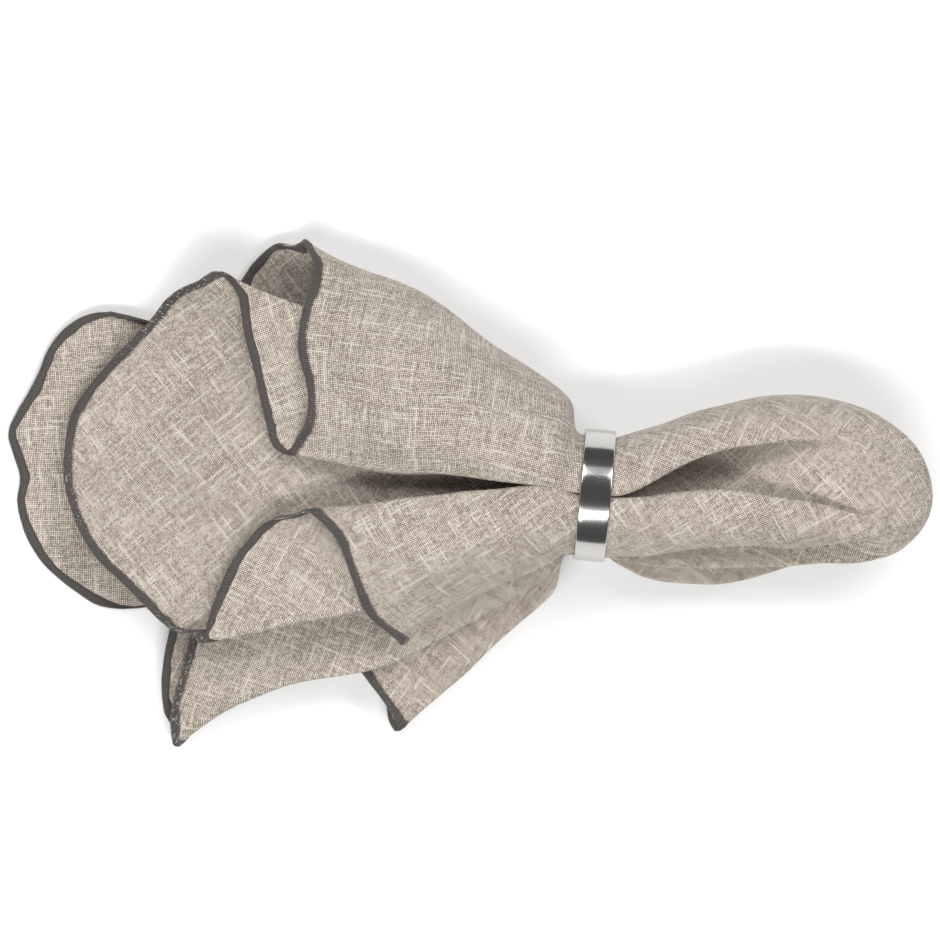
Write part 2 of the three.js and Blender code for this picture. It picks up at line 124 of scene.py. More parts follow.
# One row for each fold, in order round the cloth. tip, dome and bulb are (y, z) there, ring is
# (across, up) from the ring's centre, and neck, middle and hem are (x, y, z).
# gap is how far apart the fold holds its layers at the bulb, the ring, the middle and the hem.
# bend is the furthest that the fold is pushed aside on its way to a station from the one before it.
folds = {
    "back": {
        "tip": (22.8, 20), "dome": (31.6, 20), "bulb": (26.2, 20), "ring": (18.6, 0),
        "neck": (33.3, 30, 22), "middle": (-5, 57.8, 18), "hem": (-57, 83, 12),
        "gap": (4, 3, 8, 9),
        "bend": {"ringRight": (0, 1.4, 0), "middle": (0, -1.8, 0), "hem": (0, -1.8, 0)},
    },
    "lowest": {
        "tip": (-1, 4), "dome": (-8, 2), "bulb": (-12, 1.5), "ring": (-6, -17.5),
        "neck": (25.5, -10, 3), "middle": (-17, -10, 1), "hem": (-74.5, -23.5, 1),
        "gap": (1.8, 1.8, 1.9, 1.9),
    },
    "farLeft": {
        "tip": (-7, 5), "dome": (-6, 6), "bulb": (4, 5), "ring": (9.2, -15),
        "neck": (23.5, 17, 7), "middle": (-17, 31, 2.5), "hem": (-117.5, 58.6, 1.2),
        "gap": (1.8, 1.8, 1.9, 1.9),
    },
    "hiddenFront": {
        "tip": (-12.5, 6.5), "dome": (-16, 7), "bulb": (-22, 6), "ring": (-14.4, -12.3),
        "neck": (27, -23.5, 7.5), "middle": (-7, -40, 2.5), "hem": (-50, -58.5, 1.2),
        "gap": (1.8, 1.8, 1.9, 1.9),
    },
    "hiddenBack": {
        "tip": (-17.5, 9), "dome": (-10, 10), "bulb": (5, 9.5), "ring": (13.6, -9.6),
        "neck": (25.5, 20.5, 11.5), "middle": (-13.5, 34, 4), "hem": (-98.5, 40, 2.5),
        "gap": (1.8, 1.8, 1.9, 1.9),
    },
    "lowFront": {
        "tip": (-20.5, 11.5), "dome": (-22.5, 12), "bulb": (-31, 10.5), "ring": (-17.6, -7),
        "neck": (27.8, -33, 8), "middle": (0, -58.5, 3), "hem": (-24.8, -79.2, 1.4),
        "gap": (1.8, 1.8, 2, 2),
        "bend": {"ringRight": (0, -2.8, 0), "middle": (-0.8, 1, 0)},
    },
    "lowBack": {
        "tip": (-22.6, 16.7), "dome": (-13, 16), "bulb": (6, 14.5), "ring": (16, -4.6),
        "neck": (25.5, 20.5, 16), "middle": (-13.5, 24, 6), "hem": (-77.5, 14, 3.5),
        "gap": (1.8, 1.8, 2, 2),
    },
    "longFront": {
        "tip": (-22, 22), "dome": (-23.2, 20), "bulb": (-25.2, 19), "ring": (-18.6, -2),
        "neck": (25.5, -28, 15), "middle": (-22.5, -55.5, 6), "hem": (-98.9, -84.5, 1.6),
        "gap": (1.8, 1.8, 2.5, 2.2),
        "bend": {"hem": (0, 8, 0)},
    },
    "innerBack": {
        "tip": (-17.5, 26.5), "dome": (-8, 24), "bulb": (6, 20.5), "ring": (16.4, 0.6),
        "neck": (25.5, 20.5, 21.5), "middle": (-13.5, 20.5, 8.5), "hem": (-80.5, 20.5, 5),
        "gap": (1.8, 1.8, 2, 2),
    },
    "rollFront": {
        "tip": (-14.5, 30), "dome": (-17.5, 29), "bulb": (-18.5, 27.5), "ring": (-18.3, 3.6),
        "neck": (25.5, -24, 22), "middle": (-2.5, -36, 11), "hem": (-24.5, -50.5, 8),
        "gap": (2, 2, 4, 3),
    },
    "rollFrontTop": {
        "tip": (-8.5, 34), "dome": (-4.5, 38), "bulb": (-0.7, 35), "ring": (-1.4, 18.3),
        "neck": (27.5, 0.8, 36), "middle": (-10, -3.4, 32), "hem": (-56, -8.8, 24),
        "gap": (2, 2, 4, 8),
    },
    "troughFront": {
        "tip": (-5.5, 33), "dome": (-6.5, 34), "bulb": (-8, 31), "ring": (-15.2, 6.8),
        "neck": (23.5, -16.5, 28), "middle": (-13.5, -32, 16), "hem": (-91.6, -49.1, 9),
        "gap": (1.8, 1.8, 3, 5),
    },
    "troughBack": {
        "tip": (10.5, 34), "dome": (15, 35), "bulb": (18.5, 15.5), "ring": (15.2, 6.8),
        "neck": (23.5, 20.5, 26), "middle": (-13.5, 42.5, 14), "hem": (-87.6, 71.3, 21),
        "gap": (1.8, 1.8, 3, 8),
    },
    "rollBackTop": {
        "tip": (16, 31.5), "dome": (18, 37.5), "bulb": (12.5, 35.5), "ring": (1.4, 18.3),
        "neck": (26.5, 3.4, 36), "middle": (-10, 6.6, 32), "hem": (-62, 17.6, 21.5),
        "gap": (2, 2, 4, 9.5),
    },
}
foldRows = list(folds.values())

# One row for each panel between a fold and the next. layer is its order from the table up, and under
# names the layer that it starts on where the one before it lies beside it. crown is its rise at the
# middle and at the hem. pitch is its height over what is under it, where that isn't layerPitch. grain is
# the angle of the warp at the panel's middle, seen from above.
panels = {
    "backUnder": {
        "layer": 0, "round": True, "crown": (0, 0), "steps": 5, "grain": 38,
        "hem": [
            (-62.8, 84.2, 5.2), (-67.2, 82.3, 4.2), (-73.4, 77, 3.4), (-78, 70.5, 2.5), (-81.5, 54.5, 1),
            (-83, 14, 0.5),
        ],
    },
    "under": {
        "layer": 1, "round": False, "crown": (0, 0), "steps": 2, "grain": 10,
        "hem": [(-99.5, 24, 1.4)],
    },
    "farLobe": {
        "layer": 2, "round": False, "crown": (0, 0), "steps": 9, "grain": 4,
        "hem": [
            (-124.5, 61.2, 0.8), (-134.6, 57.8, 0.6), (-142.2, 49.1, 0.6), (-147.4, 37.2, 0.8),
            (-152.8, 26.6, 0.6), (-155.6, 17.5, 0.6), (-152.4, 6, 1.2), (-153.8, -4.4, 0.6),
            (-150.2, -16.8, 0.6), (-143.8, -25.8, 0.8), (-133.6, -33.4, 0.6), (-122.4, -39.6, 0.6),
            (-108, -39.6, 0.8), (-74.5, -45.5, 1),
        ],
    },
    "hiddenCorner": {
        "layer": 3, "round": False, "crown": (0, 0), "steps": 3, "grain": 20,
        "hem": [(-89.5, -37, 2), (-114, 3.5, 2)],
    },
    "hiddenMiddle": {
        "layer": 4, "round": False, "crown": (0, 0), "steps": 2, "grain": 40,
        "hem": [(-57.5, -23.5, 4), (-29, -58, 2), (-22.5, -69.5, 1.5)],
    },
    "lowLobe": {
        "layer": 5, "round": False, "crown": (1, 1), "steps": 2, "grain": 52,
        "hem": [(-30.6, -69.3, 2), (-37, -60.5, 3)],
    },
    "longUnder": {
        "layer": 6, "round": False, "crown": (0, 0), "steps": 3, "grain": 60,
        "hem": [(-94, -23.5, 4), (-101.4, -46, 2), (-104, -58, 1), (-105, -70, 1)],
    },
    "longLobe": {
        "layer": 7, "round": False, "crown": (1, 1), "steps": 4, "grain": 66,
        "hem": [(-101, -79.5, 2.5), (-100, -69.6, 3.5), (-97.6, -60.5, 4.5), (-94.6, -50.4, 5)],
    },
    "inner": {
        "layer": 8, "round": False, "crown": (0, 0), "steps": 3, "grain": 30,
        "hem": [(-60, -5, 6), (-40, -22, 7), (-30, -39, 7)],
    },
    "frontRoll": {
        "layer": 11, "round": True, "crown": (8, 4), "steps": 4, "grain": -58,
        "hem": [(-34.4, -39.4, 14), (-39.6, -28, 18), (-45, -16.8, 21.5)],
    },
    "frontStrip": {
        "layer": 10, "round": False, "crown": (-1, -1), "steps": 3, "grain": 62,
        "hem": [
            (-66.8, -9.9, 21), (-73.8, -16.4, 18), (-79.2, -23, 15.5), (-83.8, -33, 12.5), (-87.4, -42, 10),
        ],
    },
    "trough": {
        "layer": 9, "pitch": 2.4, "round": False, "crown": (-11, -9), "steps": 8, "grain": 38,
        "hem": [
            (-100.4, -47.2, 5), (-108, -40.4, 3.5), (-117, -31, 3), (-124.8, -23.4, 3), (-131.4, -14.2, 3),
            (-135.4, -5, 3), (-137.4, 4, 3), (-136.8, 15, 3), (-135, 24.5, 3), (-129.4, 34.4, 3.5),
            (-121.8, 43.4, 5), (-113.4, 51.9, 8), (-107, 58, 11), (-101, 65.2, 15), (-95.8, 68.7, 18.5),
        ],
    },
    "backStrip": {
        "layer": 12, "under": 9, "round": False, "crown": (1, 1), "steps": 3, "grain": 20,
        "hem": [
            (-78.8, 66.5, 20.5), (-75.6, 55.5, 20), (-71.8, 39.5, 20.5), (-69.8, 27.5, 21), (-68, 21.5, 21),
        ],
    },
    "backRoll": {
        "layer": 13, "round": True, "crown": (9, 5), "steps": 5, "grain": -8,
        "hem": [
            (-56, 21, 22.5), (-54.8, 29, 23), (-55.4, 37, 23.5), (-56.8, 46, 23), (-56.4, 55, 23),
            (-55, 63.5, 23), (-53, 71.5, 21.5), (-52.8, 78, 19),
        ],
    },
}
panelRows = list(panels.values())
panelCount = len(panelRows)

# How far a round panel follows the ring's circle at each station.
roundAt = {
    "pole": 0, "tip": 0.6, "dome": 0.75, "bulb": 0.85, "ringRight": 1, "ringLeft": 1, "neck": 0.85,
    "middle": 0.3, "hem": 0,
}


def unit(vectors):
    return vectors / np.maximum(np.linalg.norm(vectors, axis=-1, keepdims=True), 1e-9)


def smooth(share):
    share = np.clip(share, 0, 1)
    return share * share * (3 - 2 * share)


def alongStations(values, at):
    return np.interp(at, [stations[name]["at"] for name in values], list(values.values()))


# Slopes of a smooth line through points at given places.
def slopesOf(points, places):
    legs = np.diff(points, axis=0) / np.diff(places)[:, None]
    share = (np.diff(places)[:-1] / (places[2:] - places[:-2]))[:, None]
    slopes = np.empty_like(points)
    slopes[0] = legs[0]
    slopes[1:-1] = legs[:-1] + (legs[1:] - legs[:-1]) * share
    slopes[-1] = (3 * legs[-1] - slopes[-2]) / 2
    return slopes


def cubic(a, slopeA, b, slopeB, u):
    return (
        (2 * u**3 - 3 * u**2 + 1) * a + (u**3 - 2 * u**2 + u) * slopeA
        + (3 * u**2 - 2 * u**3) * b + (u**3 - u**2) * slopeB
    )


def onLine(points, slopes, places, at):
    i = np.clip(np.searchsorted(places, at, side="right") - 1, 0, len(places) - 2)
    length = (places[i + 1] - places[i])[:, None]
    u = np.clip((at - places[i])[:, None] / length, 0, 1)
    return cubic(points[i], slopes[i] * length, points[i + 1], slopes[i + 1] * length, u)


def placesAlong():
    places = [0.0]
    for before, after in zip(stationNames[:-1], stationNames[1:]):
        count = stations[after]["steps"] * cloth["planSteps"]
        low, high = stations[before]["at"], stations[after]["at"]
        places += [low + (high - low) * (j + 1) / count for j in range(count)]
    return np.array(places)


def inRing(across, up, side):
    centre = np.array([ring["x"], ring["y"], ring["outerRadius"]])
    fill = cloth["ringFill"]
    return centre + ringAxis * side * ring["width"] / 2 + (ringAcross * across + upward * up) * fill


# 0 at both ends and 1 at the highest. Before the middle it ends as softly as it starts.
def bowAlong(share, name):
    if name == "middle":
        return 16 * share**2 * (1 - share) ** 2
    return 6.75 * share**2 * (1 - share)


# The line of one fold from the pole through the ring to the hem.
def foldLine(fold, along):
    points = np.array([
        pole,
        (stations["tip"]["x"], *fold["tip"]),
        (stations["dome"]["x"], *fold["dome"]),
        (stations["bulb"]["x"], *fold["bulb"]),
        inRing(*fold["ring"], 1),
        inRing(*fold["ring"], -1),
        fold["neck"],
        fold["middle"],
        fold["hem"],
    ], float)
    slopes = slopesOf(points, stationAt)
    throughRing = -ringAxis * cloth["ringPull"] / (stations["ringLeft"]["at"] - stations["ringRight"]["at"])
    for name in ("ringRight", "ringLeft"):
        slopes[stationNames.index(name)] = throughRing
    slopes[0] = (points[1] - points[0]) * (0, 1, 1) * cloth["poleFlare"] / stationAt[1]
    line = onLine(points, slopes, stationAt, along)
    for name, push in fold.get("bend", {}).items():
        end = stationNames.index(name)
        share = np.clip((along - stationAt[end - 1]) / (stationAt[end] - stationAt[end - 1]), 0, 1)
        line = line + bowAlong(share, name)[:, None] * np.array(push)
    return line


# Where a round panel runs on the circle inside the ring, less the straight line between its folds.
def circleShare(fold, following, share):
    share = np.atleast_1d(share)[:, None]
    acrossA, upA, acrossB, upB = np.array([*fold["ring"], *following["ring"]]) * cloth["ringFill"]
    start = math.atan2(upA, acrossA)
    turn = (math.atan2(upB, acrossB) - start + math.pi) % (2 * math.pi) - math.pi
    radiusA, radiusB = math.hypot(acrossA, upA), math.hypot(acrossB, upB)
    radius = radiusA + (radiusB - radiusA) * share + cloth["roundSwell"] * np.sin(math.pi * share)
    angle = start + turn * share
    across = radius * np.cos(angle) - (acrossA + (acrossB - acrossA) * share)
    up = radius * np.sin(angle) - (upA + (upB - upA) * share)
    return across * ringAcross + up * upward


# Where the panel before each fold ends and the panel after it starts.
def foldSides(along):
    lines = [foldLine(fold, along) for fold in foldRows]
    swell = alongStations(roundAt, along)[:, None]
    sides = []
    for k, fold in enumerate(foldRows):
        before, after = lines[k - 1], lines[(k + 1) % panelCount]
        atBulb, atRing, atMiddle, atHem = fold["gap"]
        gaps = alongStations({
            "pole": cloth["poleGap"] * atBulb, "tip": atBulb, "bulb": atBulb, "ringRight": atRing,
            "neck": atRing, "middle": atMiddle, "hem": atHem,
        }, along)
        toBefore = (before - lines[k]) / 2
        toAfter = (after - lines[k]) / 2
        if panelRows[k - 1]["round"]:
            toBefore = toBefore + circleShare(foldRows[k - 1], fold, 0.5) * swell
        if panelRows[k]["round"]:
            toAfter = toAfter + circleShare(fold, foldRows[(k + 1) % panelCount], 0.5) * swell
        apart = unit(unit(toBefore) - unit(toAfter))
        room = cloth["gapShare"] * np.minimum(
            np.linalg.norm(lines[k] - before, axis=1), np.linalg.norm(lines[k] - after, axis=1)
        )
        half = (np.minimum(gaps, room) / 2)[:, None]
        sides.append((lines[k] + apart * half, lines[k] - apart * half))
    return sides


# One panel as a grid of points: across it first, then along the cloth.
def panelGrid(k, sides, along):
    panel = panelRows[k]
    start = sides[k][1]
    end = sides[(k + 1) % panelCount][0]
    share = np.linspace(0, 1, panel["steps"] * cloth["planSteps"] + 1)
    hemPoints = np.array([start[-1], *panel["hem"], end[-1]], float)
    hemPlaces = np.concatenate([[0], np.cumsum(np.linalg.norm(np.diff(hemPoints, axis=0), axis=1))])
    hemLine = onLine(hemPoints, slopesOf(hemPoints, hemPlaces), hemPlaces, share * hemPlaces[-1])
    hemBow = hemLine - (start[-1] + (end[-1] - start[-1]) * share[:, None])
    ringAt = stations["ringLeft"]["at"]
    bowAt = np.clip((along - ringAt) / (1 - ringAt), 0, 1) ** cloth["hemReach"]
    grid = start[None] + (end - start)[None] * share[:, None, None]
    grid = grid + hemBow[:, None] * bowAt[None, :, None]
    if panel["round"]:
        following = foldRows[(k + 1) % panelCount]
        bow = circleShare(foldRows[k], following, share)
        grid = grid + bow[:, None] * alongStations(roundAt, along)[None, :, None]
    crownMiddle, crownHem = panel["crown"]
    crown = alongStations({
        "ringLeft": 0,
        "neck": cloth["neckCrown"] * max(crownMiddle, 0),
        "middle": crownMiddle,
        "hem": crownHem,
    }, along)
    grid[..., 2] += (4 * share * (1 - share))[:, None] * crown[None]
    return grid


# Largest value, or the mean, within a few cells along both directions of a table.
def boxed(table, reach, pick):
    for axis in (1, 0):
        size = table.shape[axis]
        shifts = range(-reach, reach + 1)
        near = [np.take(table, np.clip(np.arange(size) + d, 0, size - 1), axis) for d in shifts]
        table = pick(near, axis=0)
    return table


def fieldHeight(field, points):
    plan = cloth["field"]
    u = (points[..., 0] - plan["x"]) / plan["cell"] - 0.5
    v = (points[..., 1] - plan["y"]) / plan["cell"] - 0.5
    i = np.clip(np.floor(u).astype(int), 0, plan["columns"] - 2)
    j = np.clip(np.floor(v).astype(int), 0, plan["rows"] - 2)
    a, b = np.clip(u - i, 0, 1), np.clip(v - j, 0, 1)
    low = field[i, j] * (1 - b) + field[i, j + 1] * b
    high = field[i + 1, j] * (1 - b) + field[i + 1, j + 1] * b
    return low * (1 - a) + high * a


# Lays the panels on each other left of the ring, each one a layer's pitch above what is under it.
def layInOrder(grids, along):
    plan, spread = cloth["field"], cloth["spread"]
    ringFace = ring["x"] - ring["width"] / 2
    beyond = along > stations["ringLeft"]["at"]
    field = np.full((plan["columns"], plan["rows"]), -cloth["layerPitch"])
    fieldAfter = {}
    for k in sorted(range(panelCount), key=lambda k: panelRows[k]["layer"]):
        grid = grids[k]
        if "under" in panelRows[k]:
            field = fieldAfter[panelRows[k]["under"]]
        pitch = panelRows[k].get("pitch", cloth["layerPitch"])
        need = np.maximum(0, fieldHeight(field, grid) + pitch - grid[..., 2])
        need = boxed(need, spread["grow"], np.max)
        for _ in range(spread["passes"]):
            need = boxed(need, spread["blur"], np.mean)
        fade = smooth((ringFace - grid[..., 0]) / cloth["ringFade"])
        grid[..., 2] = np.maximum(grid[..., 2] + need * fade, cloth["lieHeight"])
        u = np.floor((grid[:, beyond, 0] - plan["x"]) / plan["cell"]).astype(int)
        v = np.floor((grid[:, beyond, 1] - plan["y"]) / plan["cell"]).astype(int)
        top = np.zeros_like(field)
        np.maximum.at(top, (u, v), grid[:, beyond, 2])
        soft = boxed(boxed(top, spread["blur"], np.max), spread["blur"], np.mean)
        field = np.where(soft > 0, np.maximum(field, soft), field)
        fieldAfter[panelRows[k]["layer"]] = field


# Splits each step along a grid's second direction, on a smooth line through its points.
def finerAlong(grid, times):
    slopes = np.gradient(grid, axis=1)
    parts = []
    for i in range(grid.shape[1] - 1):
        for part in range(times):
            parts.append(cubic(grid[:, i], slopes[:, i], grid[:, i + 1], slopes[:, i + 1], part / times))
    parts.append(grid[:, -1])
    return np.stack(parts, axis=1)


# Slow, soft unevenness through all layers together, so that they keep their distance.
unevenness = {
    "seed": 11,
    "waves": [
        {"length": 46.0, "size": 0.9, "count": 7},
        {"length": 21.0, "size": 0.3, "count": 9},
    ],
    "tilt": (1, 1, 0.35),  # the waves run mostly along the table
    "ringClear": 16.0,  # it fades out over this length towards the ring
    "tableClear": 7.0,  # and over this height above the table
}


def makeUneven(points):
    rng = np.random.default_rng(unevenness["seed"])
    shift = np.zeros_like(points)
    for wave in unevenness["waves"]:
        for _ in range(wave["count"]):
            direction = unit(rng.normal(size=3) * unevenness["tilt"])
            push = unit(rng.normal(size=3))
            phase = rng.uniform(0, 2 * math.pi)
            turn = points @ direction * 2 * math.pi / wave["length"] + phase
            shift += push * (wave["size"] / math.sqrt(wave["count"]) * np.sin(turn))[..., None]
    fromRing = np.abs((points - (ring["x"], ring["y"], 0)) @ ringAxis) - ring["width"] / 2
    shift *= smooth(fromRing / unevenness["ringClear"])[..., None]
    shift[..., 2] *= smooth((points[..., 2] - cloth["lieHeight"]) / unevenness["tableClear"])
    return points + shift


# The lines between two panels, round the fold.
def turnLines(grid, following):
    reach = cloth["tangentReach"]
    a, b = grid[-1], following[0]
    leave, enter = unit(a - grid[-1 - reach]), unit(following[reach] - b)
    back, on = cloth["turnPull"]
    onward = (1 + np.sum(leave * enter, axis=1, keepdims=True)) / 2
    pull = np.linalg.norm(b - a, axis=1, keepdims=True) * (back + (on - back) * onward)
    steps = cloth["turnSteps"]
    return [cubic(a, leave * pull, b, enter * pull, i / steps) for i in range(1, steps)]


# The weave's own coordinates on each panel, in millimetres, laid flat as they would be unrolled. Each
# panel is unrolled in two parts that meet inside the ring.
def weaveOf(grids):
    mesh = bpy.data.meshes.new("weavePlan")
    places = placesAlong()
    first = 1  # the lines meet at the pole, so the weave starts a row further on
    inRingAt = (stations["ringRight"]["at"] + stations["ringLeft"]["at"]) / 2
    cut = int(np.searchsorted(places, inRingAt))
    parts = [
        (first, cut, int(np.argmin(np.abs(places - stations["bulb"]["at"])))),
        (cut, len(places), int(np.argmin(np.abs(places - stations["middle"]["at"])))),
    ]
    vertices, faces, starts = [], [], []
    count = 0
    for grid in grids:
        for low, high, _ in parts:
            across, rows = grid.shape[0], high - low
            starts.append(count)
            vertices.append(grid[:, low:high].reshape(-1, 3))
            index = count + np.arange(across * rows).reshape(across, rows)
            quads = np.stack([index[:-1, :-1], index[1:, :-1], index[1:, 1:], index[:-1, 1:]], axis=-1)
            faces.append(quads.reshape(-1, 4))
            count += across * rows
    mesh.from_pydata(np.concatenate(vertices).tolist(), [], np.concatenate(faces).tolist())
    mesh.uv_layers.new(name="weave")
    plan = bpy.data.objects.new("weavePlan", mesh)
    bpy.context.scene.collection.objects.link(plan)
    bpy.context.view_layer.objects.active = plan
    plan.select_set(True)
    bpy.ops.object.mode_set(mode="EDIT")
    bpy.ops.mesh.select_all(action="SELECT")
    bpy.ops.uv.unwrap(
        method="MINIMUM_STRETCH", iterations=cloth["unrollSteps"], margin=cloth["unrollMargin"],
    )
    bpy.ops.object.mode_set(mode="OBJECT")
    loops = len(mesh.loops)
    flat, vertexOf = np.zeros(loops * 2, np.float32), np.zeros(loops, np.int32)
    mesh.uv_layers["weave"].data.foreach_get("uv", flat)
    mesh.loops.foreach_get("vertex_index", vertexOf)
    uv = np.zeros((len(mesh.vertices), 2))
    uv[vertexOf] = flat.reshape(-1, 2)
    bpy.data.objects.remove(plan)
    bpy.data.meshes.remove(mesh)
    weaves = []
    for k, grid in enumerate(grids):
        unrolled = []
        for n, (low, high, at) in enumerate(parts):
            across, rows = grid.shape[0], high - low
            start = starts[k * len(parts) + n]
            own = uv[start:start + across * rows].reshape(across, rows, 2)
            solid = grid[:, low:high]
            flatArea = areaOf(np.concatenate([own, np.zeros((across, rows, 1))], axis=2))
            own = own * math.sqrt(areaOf(solid) / flatArea)
            i, j = across // 2, at - low
            stepsFlat = np.stack([own[i + 1, j] - own[i, j], own[i, j + 1] - own[i, j]])
            stepsSolid = np.stack([solid[i + 1, j] - solid[i, j], solid[i, j + 1] - solid[i, j]])
            angle = math.radians(panelRows[k]["grain"])
            aim = np.array([math.cos(angle), math.sin(angle)])
            weights = np.linalg.lstsq(stepsSolid[:, :2].T, aim, rcond=None)[0]
            warp = unit(weights @ stepsFlat)
            turned = np.stack([own @ warp, own @ np.array([-warp[1], warp[0]])], axis=-1)
            unrolled.append(turned - turned[i, j] + k * np.array(cloth["weaveShift"]))
        turned = np.concatenate(unrolled, axis=1)
        poleRow = 2 * turned[:, :1] - turned[:, 1:2]
        weaves.append(np.concatenate([poleRow, turned], axis=1))
    return weaves


def areaOf(grid):
    diagonals = np.cross(grid[1:, 1:] - grid[:-1, :-1], grid[1:, :-1] - grid[:-1, 1:])
    return np.linalg.norm(diagonals, axis=-1).sum() / 2


# All lines along the cloth in order round it, and for each strip of faces between two of them the
# weave's coordinates on its two sides.
def clothLines():
    along = placesAlong()
    sides = foldSides(along)
    grids = [panelGrid(k, sides, along) for k in range(panelCount)]
    layInOrder(grids, along)
    weaves = weaveOf(grids)
    print("panels laid and unrolled")
    grids = [makeUneven(finerAlong(grid, cloth["finer"])) for grid in grids]
    weaves = [finerAlong(weave, cloth["finer"]) for weave in weaves]
    lines, strips = [], []
    for k, grid in enumerate(grids):
        after = (k + 1) % panelCount
        turn = turnLines(grid, grids[after])
        lines += [*grid, *turn]
        strips += list(zip(weaves[k][:-1], weaves[k][1:]))
        # round the fold each panel's weave runs on to half way
        path = [grid[-1], *turn, grids[after][0]]
        width = np.linalg.norm(np.diff(path, axis=0), axis=-1)[..., None]
        ahead = unit(weaves[k][-1] - weaves[k][-2])
        behind = unit(weaves[after][0] - weaves[after][1])
        for i in range(len(path) - 1):
            if i < len(path) // 2:
                strips.append(tuple(weaves[k][-1] + ahead * width[:n].sum(axis=0) for n in (i, i + 1)))
            else:
                strips.append(tuple(weaves[after][0] + behind * width[n:].sum(axis=0) for n in (i, i + 1)))
    return np.array(lines), np.array(strips)


lines, strips = clothLines()
print("cloth area as folded", round(areaOf(np.concatenate([lines, lines[:1]])) / 1e6, 4), "square metres")


# Normals of the sheet, on its upper side in the back roll.
def sheetNormals(lines):
    around = np.roll(lines, -1, axis=0) - np.roll(lines, 1, axis=0)
    down = np.gradient(lines, axis=1)
    normals = unit(np.cross(around, down))
    normals[:, 0] = (1, 0, 0)
    return normals


def meshObject(name, vertices, faces):
    mesh = bpy.data.meshes.new(name)
    mesh.from_pydata(vertices.tolist(), [], faces)
    mesh.validate()
    for polygon in mesh.polygons:
        polygon.use_smooth = True
    made = bpy.data.objects.new(name, mesh)
    bpy.context.scene.collection.objects.link(made)
    return made


# Sheet: both sides of the cloth, closed along the hem and at the pole.
def makeNapkin():
    normals = sheetNormals(lines)
    half = cloth["thickness"] / 2
    count, rows = lines.shape[0], lines.shape[1]
    outer = toScene(lines[:, 1:] + normals[:, 1:] * half).reshape(-1, 3)
    inner = toScene(lines[:, 1:] - normals[:, 1:] * half).reshape(-1, 3)
    poleOut, poleIn = toScene(lines[0, 0] + (half, 0, 0)), toScene(lines[0, 0] - (half, 0, 0))
    vertices = np.concatenate([outer, inner, [poleOut, poleIn]])
    innerStart, polePoint = len(outer), len(outer) * 2
    perLine = rows - 1
    faces, corners = [], []
    for i in range(count):
        n = (i + 1) % count
        here, there = strips[i]
        a, b = i * perLine, n * perLine
        faces += [(polePoint, b, a), (polePoint + 1, innerStart + a, innerStart + b)]
        corners += [here[0], there[1], here[1], here[0], here[1], there[1]]
        for j in range(perLine - 1):
            faces.append((a + j, b + j, b + j + 1, a + j + 1))
            corners += [here[j + 1], there[j + 1], there[j + 2], here[j + 2]]
            innerA, innerB = innerStart + a + j, innerStart + b + j
            faces.append((innerB, innerA, innerA + 1, innerB + 1))
            corners += [there[j + 1], here[j + 1], here[j + 2], there[j + 2]]
        last = perLine - 1
        faces.append((a + last, b + last, innerStart + b + last, innerStart + a + last))
        corners += [here[-1], there[-1], there[-1], here[-1]]
    napkin = meshObject("linenNapkin", vertices, faces)
    layer = napkin.data.uv_layers.new(name="weave")
    layer.data.foreach_set("uv", np.array(corners, np.float32).ravel())
    return napkin


# Overlocked edge: a flat band of thread wrapped round the hem, each stitch a ridge. Its section is a
# row of points, each with its share of the way in from the edge and of the height over the cloth.
edging = {
    "width": 3.2,
    "thickness": 1.3,
    "overhang": 0.5,  # how far it stands out past the cut edge
    "section": [(0, 0), (0.2, 1), (0.62, 1), (1, 0.45), (1, -0.45), (0.62, -1), (0.2, -1)],
    "toothed": 3,  # the point of the section that reaches into the cloth with every stitch
    "tooth": 0.4,
    "stitch": 0.8,
    "samples": 5,  # rings of points for each stitch
    "ridge": 0.16,
    "slant": 0.9,  # how far a stitch leans on its way across, in stitches
    "rowsUnder": 13,  # rows of the cloth's points, from the hem in, that its inner side may lie on
    "leanRow": 2,  # the row that the lines' direction is taken from
    "skew": 0.5,  # least sine of the angle between the hem and the lines that it is measured along
    "wander": [{"length": 11.0, "size": 0.2}, {"length": 27.0, "size": 0.25}, {"length": 6.1, "size": 0.1}],
    "waves": 3,  # sines in each row of wander, and how many turns more each has than the one before
    "moreTurns": 2,
    "outerWander": 0.5,
    "lowest": 0.05,
    "seed": 5,
}


# The cloth's points this far in from the hem, one on each line.
def inFromHem(distance):
    rows = lines[:, :-edging["rowsUnder"] - 1:-1]
    hem = rows[:, 0]
    forward = unit(np.roll(hem, -1, axis=0) - np.roll(hem, 1, axis=0))
    inward = unit(rows[:, edging["leanRow"]] - hem)
    sine = np.linalg.norm(np.cross(forward, inward), axis=1)
    steps = np.linalg.norm(np.diff(rows, axis=1), axis=-1)
    places = np.concatenate([np.zeros((len(rows), 1)), np.cumsum(steps, axis=1)], axis=1)
    want = distance / np.clip(sine, edging["skew"], 1)
    return np.array([
        [np.interp(want[i], places[i], rows[i, :, axis]) for axis in range(3)] for i in range(len(rows))
    ])


